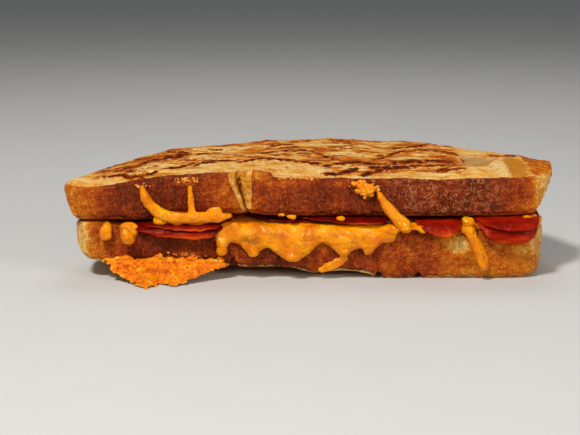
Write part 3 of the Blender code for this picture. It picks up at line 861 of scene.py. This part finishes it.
# lumps are x, y, z and half sizes
curtainLumps = (
    (39, -46.2, 21.2, 5.5, 1.4, 1.7), (44, -45.6, 21.6, 4.6, 1.1, 1.5),
    (34, -46.3, 21.6, 6, 1.5, 1.9), (-33, -45.6, 22.4, 4.4, 1.4, 2.2),
    (36.8, -46.8, 21.4, 3.4, 1.5, 1.8), (-7.3, -46.9, 9.8, 3.6, 1.8, 1.9),
    (-23.3, -46.9, 11.2, 2.1, 1.6, 2), (14, -46.9, 11.4, 2.3, 1.7, 1.9),
    (-36.2, -46.5, 12.6, 2.2, 1.5, 2.4), (-36, -46.5, 15.4, 2, 1.4, 2.4),
    (64.8, -46, 21.4, 2.7, 1.3, 2), (66.6, -46.4, 18.6, 2.5, 1.6, 3),
    (68.1, -46.5, 15.4, 3.1, 1.7, 3.4), (69.6, -46.5, 12.2, 3.3, 1.7, 3.4),
    (71, -46.4, 9.2, 3.2, 1.6, 3.2), (71.8, -46.3, 6.8, 2.7, 1.5, 2.4),
)
beadLumps = (
    (-61.2, -46.5, 25.8, 3, 1.5, 1.8), (-54, -46.6, 25.4, 2.6, 1.5, 1.7),
    (-46.4, -46.6, 25.2, 4, 1.5, 2), (-38.6, -46.2, 28.8, 4, 1.3, 2.2),
)
innerDropLumps = (
    (-74.7, -44.8, 22, 3.8, 1.8, 2.4), (-74.5, -45.2, 19.8, 3.5, 1.8, 2.8),
    (-74.2, -45.3, 17.4, 2.6, 1.6, 2.2),
)
# the bead's right end is drawn out thin: from there on, what is left of its length and of its height
beadEnd = {"start": -37, "length": 0.45, "height": 0.5, "middle": 27.6}
# where the cheese has run down in thick streams: x, half width, how far it stands out
streams = ((-36, 2.4, 0.6), (-23.4, 2, 0.8), (-7.6, 5.5, 1.2), (14.2, 3.6, 1), (24.6, 1.6, 0.5))
# the right drip: its middle for each height, and what is left of its width
rightDrip = {
    "middles": ((4.5, 72), (9.2, 71), (12.2, 69.6), (15.4, 68.1), (18.6, 66.6), (21.4, 65)), "width": 0.8,
}
# the right string is drawn into the curtain at its foot and its top: from which height, by what share
rightString = {"foot": 23, "footShare": 0.6, "top": 33, "topShare": 0.45}
# how far the tips of the drips are drawn up: between which heights, then x and by how much
tipLifts = {
    "cheeseCurtain": ((17, 10), (
        (-40, 0.3), (-36, 0.7), (-30, 0.3), (-23.4, 1.3), (-15, 0.8), (-7.6, 0.8), (3, 0.8), (14.2, 1.2),
        (20, 1.6), (24.6, 3), (30, 0.8), (34, 0),
    )),
    "cheeseDropOuter": ((23, 17), ((-84, 0.9),)),
    "cheeseDropInner": ((21.5, 14.5), ((-74, 1.8),)),
}
# toasted places on the cheese: x, z, half sizes, how brown
brownedPlaces = (
    (-24, 17.6, 5, 2.2, 0.9), (-14, 19.4, 4, 1.6, 0.6), (12, 19.6, 3.4, 1, 0.6),
    (18, 16.6, 2.6, 1.6, 0.5), (-77.4, 21, 1.6, 3, 0.6), (-2, 16.5, 1, 3.6, 0.4),
)


def meltedMaterial(settings):
    material, tree = newMaterial("meltedCheese")
    fine = noiseOf(tree, 1.5)
    specks = scaled(tree, spotsOf(tree, 2.6, 0.04, 0.12), 0.7)
    browned = scaled(tree, "browned", rangeOf(tree, fine, 0.32, 0.54))
    colour = rampOf(tree, noiseOf(tree, 7), settings["colours"])
    setShader(
        tree, Base_Color=laidOver(tree, colour, (specks, settings["speck"]), (browned, settings["browned"])),
        Roughness=rangeOf(tree, noiseOf(tree, 3), 0.35, 0.65, 0.05, 0.14),
        Normal=bumpOf(tree, (noiseOf(tree, 3, 2), 1.2), (fine, 0.34)), Specular_IOR_Level=0.52,
        Specular_Tint=(1, 0.8, 0.4, 1), Subsurface_Weight=0.07, Subsurface_Scale=0.002,
        Subsurface_Radius=(1, 0.35, 0.02),
    )
    return material


# the right drip, made slimmer and quite smooth
def slimDrip(piece):
    points = readPoints(piece)
    x, y, z = points.T
    low = ease(22.5, 19, z) * ease(58, 60, x) * ease(-41, -43, y)
    x += (rightDrip["width"] - 1) * (x - readTable(rightDrip["middles"], z)) * low
    writePoints(piece, points)
    group = piece.vertex_groups.new(name="drip")
    group.add(np.flatnonzero(low > 0.5).tolist(), 1, "REPLACE")
    finishWith(piece, "SMOOTH", iterations=30, vertex_group="drip")
    piece.vertex_groups.clear()


# how far the curtain's streams stand out
def bulgeAt(points, seed):
    bulge, stray = np.zeros(len(points)), 0.8 * softNoise(points, 7, seed)
    for middle, halfWidth, out in streams:
        away = points[:, 0] - middle + stray
        bulge += out * np.exp(-((away / halfWidth) ** 2)) * ease(23, 17, points[:, 2])
    return bulge


# the tips of the drips, the right string and the bead's end, each drawn to its place
def drawEnds(points, pieceName, shown):
    x, _, z = points.T
    if pieceName in tipLifts:
        (high, low), lifts = tipLifts[pieceName]
        z += readTable(lifts, x) * ease(high, low, z) * shown
    if pieceName == "cheeseCurtain":
        foot, top = rightString["foot"], rightString["top"]
        footward = rightString["footShare"] * (foot - z) * ease(34, 37, x) * ease(46, 43, x)
        z += footward * ease(foot + 1, foot - 1, z)
        z -= rightString["topShare"] * np.maximum(0, z - top) * ease(26, 28, x) * shown
    if pieceName == "cheeseBead":
        beyond = np.maximum(0, x - beadEnd["start"])
        x -= beyond * (1 - beadEnd["length"])
        flat = 1 - (1 - beadEnd["height"]) * ease(0, 8, beyond)
        z += (z - beadEnd["middle"]) * (flat - 1)


def brownedAt(points, seed):
    x, _, z = points.T
    browned, stray = np.zeros(len(points)), 0.2 * softNoise(points, 2.4, seed)
    for placeX, placeZ, halfX, halfZ, strength in brownedPlaces:
        away = np.hypot((x - placeX) / halfX, (z - placeZ) / halfZ) + stray
        browned = np.maximum(browned, strength * ease(1.3, 0.3, away))
    return browned


def makeMelted(nodeName, pieceName, seed, settings, lumps):
    rest = copyOfNode(nodeName, pieceName)
    piece, cut = rest, settings["cut"]
    isCurtain, isSplit = pieceName == "cheeseCurtain", readPoints(rest)[:, 1].max() > cut
    if isSplit:
        piece = splitFront(rest, cut)
    if lumps:
        meltIn(piece, lumps)
    remesh(piece, settings["voxel"], 9 if lumps else 5)
    if isCurtain:
        slimDrip(piece)
    points, normals = readPoints(piece), readNormals(piece)
    shown = ease(cut - 2, cut - 5, points[:, 1])
    shift = settings["inflate"] + settings["edgeBulge"] * ease(0.1, -0.9, normals[:, 2])
    calm = 1 - 0.6 * ease(58, 62, points[:, 0])
    bumpy = 0.12 + 0.14 * ease(15, 19, points[:, 2])
    shift += calm * (0.36 * softNoise(points, 7, seed) + bumpy * softNoise(points, 2.8, seed + 1))
    if isCurtain:
        points[:, 1] -= bulgeAt(points, seed + 2) * shown * np.clip(-normals[:, 1], 0, 1)
    points += normals * (shift * shown)[:, None]
    drawEnds(points, pieceName, shown)
    writePoints(piece, points)
    setAttributes(piece, browned=brownedAt(points, seed + 3))
    finishWith(piece, "SMOOTH", iterations=2)
    if isSplit:
        joinTo(piece, [rest])
    piece.name = pieceName
    return piece


meltedLook = meltedMaterial(meltedFinish)
for nodeName, pieceName, seed, lumps in (
    ("cheese_lower", "cheeseCurtain", 60, curtainLumps),
    ("cheese_upper", "cheeseBead", 64, beadLumps),
    ("cheese_drop_outer", "cheeseDropOuter", 68, ()),
    ("cheese_drop_inner", "cheeseDropInner", 72, innerDropLumps),
):
    piece = makeMelted(nodeName, pieceName, seed, meltedFinish, lumps)
    settle(piece, meltedLook, "cheese", nodeName)


# Small beads and a film of cheese on the crusts, besides one small round one: x, y, z and half sizes.
cheeseBeads = (
    (-11.6, -45.5, 27.5, 1.5, 1, 0.7), (-7.4, -45.8, 26.8, 1.9, 1.3, 0.9),
    (12.5, -46, 26.1, 1.8, 1.5, 1.2), (65, -46.4, 24.8, 2.6, 1.8, 1.8),
    (63.8, -46, 25.8, 1.6, 1.5, 1), (92.6, -41, 25.4, 2.4, 2, 1.3),
    (89.6, -43.4, 26.2, 2.2, 1.4, 0.9), (95.2, -37.6, 24.2, 1.6, 1.8, 1.6),
    (5.6, -45.2, 4.4, 2.4, 0.6, 1.4), (7.6, -45.3, 5.3, 2.9, 0.6, 1.8),
    (9.8, -45.3, 6.3, 2.9, 0.6, 1.9), (12, -45.4, 7.6, 2.7, 0.6, 1.9),
    (13.8, -45.5, 9.2, 1.8, 0.7, 1.8),
)
beadFinish = {
    "first": (-9.5, -45.6, 26.9), "radius": 0.4, "voxel": 0.25, "smoothing": 3, "seed": 90,
    "uneven": ((0.35, 2.2), (0.15, 1)),
}


def makeBeads(settings):
    piece = addBall(settings["first"], (1, 1, 1), settings["radius"], 2)
    piece.name = "cheeseBeads"
    meltIn(piece, cheeseBeads)
    remesh(piece, settings["voxel"], settings["smoothing"])
    shift = layered(readPoints(piece), settings["seed"], settings["uneven"])
    writePoints(piece, readPoints(piece) + readNormals(piece) * shift[:, None])
    return piece


settle(makeBeads(beadFinish), meltedLook, "cheese")


# Ham.
hamFinish = {
    "colours": ((0.16, (92, 5, 1)), (0.4, (138, 15, 3)), (0.62, (172, 36, 6)), (0.86, (204, 74, 12))),
    "fat": (222, 88, 10), "lighterFrom": (30, 60), "leanerFrom": (70, 74),
    "voxel": 0.3, "cut": -36, "shownFrom": (-39, -43),
}
hamParts = ("left_low", "left_high", "middle_low", "middle_high", "right_low", "end_low", "end_high")


def hamMaterial(settings):
    material, tree = newMaterial("curedHam")
    fine = noiseOf(tree, 1, 3, 0.6, (4, 2, 1))
    # painted shade: each piece darker on its upper part, under the bread, and lighter at its foot where the
    # fat edge is
    level = varied(tree, scaled(tree, "rim", 0.42, 0.18), noiseOf(tree, 4, 4, 0.6, (3, 2, 0.6)), 1.1)
    # painted light: the hams at the right are painted lighter against the shade they lie in
    level = scaled(tree, "lighter", 0.24, level)
    fatty = rangeOf(tree, varied(tree, "rim", fine, 0.5), 0.6, 1.05, 0, 0.7)
    setShader(
        tree, Base_Color=laidOver(tree, rampOf(tree, level, settings["colours"]), (fatty, settings["fat"])),
        Roughness=rangeOf(tree, fine, 0.3, 0.7, 0.24, 0.5), Normal=bumpOf(tree, (fine, 0.3)),
        Specular_IOR_Level=0.22, Specular_Tint=(1, 0.42, 0.24, 1), Subsurface_Weight=0.1,
        Subsurface_Scale=0.002, Subsurface_Radius=(1, 0.2, 0.05),
    )
    return material


def makeHam(nodeName, pieceName, seed, settings):
    rest = copyOfNode(nodeName, pieceName)
    piece = splitFront(rest, settings["cut"])
    remesh(piece, settings["voxel"], 4)
    points = readPoints(piece)
    shown = ease(*settings["shownFrom"], points[:, 1])
    ripple = 0.6 * softNoise(points * (1, 0.3, 0.3), 6, seed)
    ripple += 0.22 * softNoise(points * (1, 0.6, 0.8), 2, seed + 1)
    low, high = np.percentile(points[shown > 0.5, 2], (2, 98))
    # 1 at each piece's foot, the fat edge, and 0 from its middle up, which is left darker as painted shade
    rim = ease(0.5 * low + 0.5 * high, low, points[:, 2]) * shown
    points[:, 1] += ripple * shown
    points[:, 2] += 0.5 * shown * softNoise(points * (1, 0, 0), 4, seed + 2)
    rim *= 1 - 0.75 * ease(*settings["leanerFrom"], points[:, 0])
    setAttributes(piece, rim=rim, lighter=ease(*settings["lighterFrom"], points[:, 0]))
    writePoints(piece, points)
    joinTo(piece, [rest])
    piece.name = pieceName
    return piece


hamLook = hamMaterial(hamFinish)
for number, part in enumerate(hamParts):
    pieceName = "ham" + part.title().replace("_", "")
    piece = makeHam("ham_" + part, pieceName, 80 + 5 * number, hamFinish)
    settle(piece, hamLook, "ham", "ham_" + part)


# Crisp fried cheese.
crispFinish = {
    "colours": ((0.06, (180, 66, 0)), (0.26, (236, 112, 0)), (0.5, (252, 150, 0)), (0.86, (255, 206, 74))),
    "burnt": (54, 18, 4), "voxel": 0.34, "lowest": 0.05,
    "rimGrain": (0.4, 1.1), "rimStep": 0.8, "ragged": ((1, 2.6), (0.9, 1.3)),
    "bubbleSize": 2.7, "bubbleHeight": 0.45, "grainSize": 1.1, "grainHeight": 0.32, "pitDepth": 1.3,
}
# fried cheese that climbs the lower crust behind the skirt: x, y, z and half sizes
skirtLumps = (
    (-79, -45.5, 9.2, 2.6, 1, 1.2), (-75.6, -45.7, 9.4, 2.4, 1, 1.3), (-71.8, -45.6, 8.4, 2.4, 0.9, 0.9),
    (-66, -45.6, 8.6, 2.4, 0.9, 1), (-62.6, -45.8, 9.6, 2.3, 1, 1.7), (-58.2, -45.8, 8.9, 2.6, 0.9, 1.2),
    (-53.6, -45.7, 8.7, 2.6, 0.9, 1.1), (-49, -45.6, 8.9, 2.4, 0.9, 1.3), (-44.4, -45.5, 8.2, 2.6, 0.9, 1),
    (-40.2, -45.5, 8.2, 2.6, 0.9, 1.1), (-37, -45.5, 8.5, 1.6, 0.9, 1.3),
)
# more fried cheese round the small patch on the upper crust
patchLumps = (
    (18.2, -45.3, 40.4, 1.7, 0.8, 1.1), (20.6, -45.5, 41.6, 1.5, 0.7, 0.8),
    (19.6, -45.6, 37.4, 1.5, 0.9, 1.3),
    (24.8, -45.7, 36, 1.8, 0.9, 1.2), (27.2, -45.6, 38.6, 0.9, 0.8, 1.6), (22.4, -45.7, 34.9, 1, 0.7, 0.8),
)


def crispMaterial(settings):
    material, tree = newMaterial("crispCheese")
    fine = noiseOf(tree, 0.8, 4, 0.65)
    # colour by how high each spot stands: painted highlight on the bumps, painted shade between them
    level = varied(tree, varied(tree, "height", fine, 0.7), noiseOf(tree, 4, 4, 0.6), 0.9)
    colour = rampOf(tree, level, settings["colours"])
    setShader(
        tree, Base_Color=laidOver(tree, colour, ("burnt", settings["burnt"])),
        Roughness=rangeOf(tree, fine, 0.3, 0.7, 0.3, 0.6), Normal=bumpOf(tree, (fine, 0.5)),
        Specular_IOR_Level=0.35, Specular_Tint=(1, 0.8, 0.5, 1), Subsurface_Weight=0.12,
        Subsurface_Scale=0.002, Subsurface_Radius=(1, 0.42, 0.05),
    )
    return material


# grains along the outer edge, where the cheese has fried into a jagged rim
def rimGrains(piece, seed, settings):
    dice = np.random.default_rng(seed)
    points = readPoints(piece)
    grains = []
    for x in np.arange(points[:, 0].min() + 0.6, points[:, 0].max() - 0.6, settings["rimStep"]):
        column = points[np.abs(points[:, 0] - x) < 0.5]
        edge = column[column[:, 1].argmin()] + dice.normal(0, 0.22, 3)
        grain = dice.uniform(*settings["rimGrain"])
        grains.append((*edge, 1.2 * grain, grain, 0.7 * grain))
    return grains


def makeCrisp(nodeName, pieceName, seed, lumps, settings):
    piece = copyOfNode(nodeName, pieceName)
    remesh(piece, settings["voxel"], 0)
    if pieceName == "crispSkirt":
        lumps = (*rimGrains(piece, seed, settings), *lumps)
    meltIn(piece, lumps)
    remesh(piece, settings["voxel"], 2)
    points, normals = readPoints(piece), readNormals(piece)
    near, chance = scatteredDots(points, settings["bubbleSize"], seed)
    bubbles = ease(0.7, 0.1, near) * (0.4 + 0.6 * chance)
    # pits: pressed in, and painted near black as shade
    pits = ease(0.34, 0.14, near) * (chance > 0.88)
    grains = ease(0.65, 0.1, scatteredDots(points, settings["grainSize"], seed + 1)[0])
    sideways = 1 - np.abs(normals[:, 2])
    shift = settings["bubbleHeight"] * (bubbles - 0.4) + settings["grainHeight"] * (grains - 0.4)
    shift += (0.25 + 0.65 * sideways) * layered(points, seed + 2, settings["ragged"])
    shift -= settings["pitDepth"] * pits
    points += normals * shift[:, None]
    points[:, 2] = np.maximum(points[:, 2], settings["lowest"])
    writePoints(piece, points)
    # how light the fried cheese is painted: lighter on raised bubbles and grains as painted highlight,
    # darker between them as painted shade, and lighter at its frothy edge
    height = 0.2 + 0.3 * bubbles + 0.25 * grains + 0.22 * ease(0.3, 0.9, sideways)
    setAttributes(piece, height=height, burnt=np.clip(pits * 1.4, 0, 1))
    return piece


crispLook = crispMaterial(crispFinish)
for nodeName, pieceName, seed, lumps in (
    ("cheese_crisp", "crispSkirt", 120, skirtLumps),
    ("cheese_patch", "crispPatch", 126, patchLumps),
):
    piece = makeCrisp(nodeName, pieceName, seed, lumps, crispFinish)
    settle(piece, crispLook, "crisp_cheese", nodeName)


# Loose toasted crumbs: each patch is how many, the middle x, y, z, and how far they scatter.
crumbPatches = (
    (44, (-51, -44.3, 41.8), (5, 0.5, 1.3)), (24, (-69, -44.7, 39.2), (3.4, 0.5, 1.8)),
    (34, (20.4, -45.8, 40.4), (5.4, 0.5, 2.4)), (26, (-52, -44.8, 10.4), (9.5, 0.5, 0.9)),
    (14, (-8, -43.6, 42.6), (9, 0.5, 0.6)),
)
crumbSettings = {
    "radius": (0.22, 0.54), "seed": 7, "light": (250, 178, 70), "dark": (196, 96, 14), "upperFrom": 25,
}


def crumbMaterial(settings):
    material, tree = newMaterial("toastCrumbs")
    tone = noiseOf(tree, 1.4, 3, 0.6)
    light = rangeOf(tree, tone, 0.38, 0.62), settings["light"]
    setShader(
        tree, Base_Color=laidOver(tree, settings["dark"], light), Specular_IOR_Level=0.35,
        Roughness=rangeOf(tree, tone, 0.3, 0.7, 0.35, 0.6),
        Normal=bumpOf(tree, (noiseOf(tree, 0.4, 2), 0.15)),
    )
    return material


def makeCrumbs(settings):
    dice = np.random.default_rng(settings["seed"])
    first = addBall((0, 0, 0), (1, 1, 1), subdivisions=2)
    ball = readPoints(first)
    made = []
    for count, middle, spread in crumbPatches:
        for _ in range(count):
            crumb = first.copy()
            crumb.data = first.data.copy()
            bpy.context.scene.collection.objects.link(crumb)
            stretch = dice.uniform(*settings["radius"]) * dice.uniform(0.6, 1.3, 3)
            lumpy = 1 + 0.5 * softNoise(ball + 9 * dice.random(3), 0.9, 130)
            place = np.array(middle) + np.clip(dice.normal(0, 0.5, 3), -1, 1) * spread
            crustUnder = slices[0] if middle[2] > settings["upperFrom"] else slices[1]
            place = np.array(crustUnder.closest_point_on_mesh(place * millimetre)[1]) / millimetre
            writePoints(crumb, ball * stretch * lumpy[:, None] + place)
            made.append(crumb)
    bpy.data.objects.remove(first)
    joinTo(made[0], made[1:])
    made[0].name = "looseCrumbs"
    return made[0]


settle(makeCrumbs(crumbSettings), crumbMaterial(crumbSettings), "crust")


# Floor.
floorSettings = {"size": 8, "dark": (0.6, 0.6, 0.59, 1), "light": (0.63, 0.63, 0.62, 1), "rough": 0.85}


def makeFloor(settings):
    bpy.ops.mesh.primitive_plane_add(size=settings["size"], location=(0, 0, 0))
    floor = bpy.context.object
    floor.name = "floor"
    material, tree = newMaterial("paleFloor")
    inputs = {0: noiseOf(tree, 60), 6: settings["dark"], 7: settings["light"]}
    colour = addNode(tree, "ShaderNodeMix", inputs, data_type="RGBA").outputs[2]
    setShader(tree, Base_Color=colour, Roughness=settings["rough"], Specular_IOR_Level=0.2)
    floor.data.materials.append(material)


makeFloor(floorSettings)
print("floor laid")
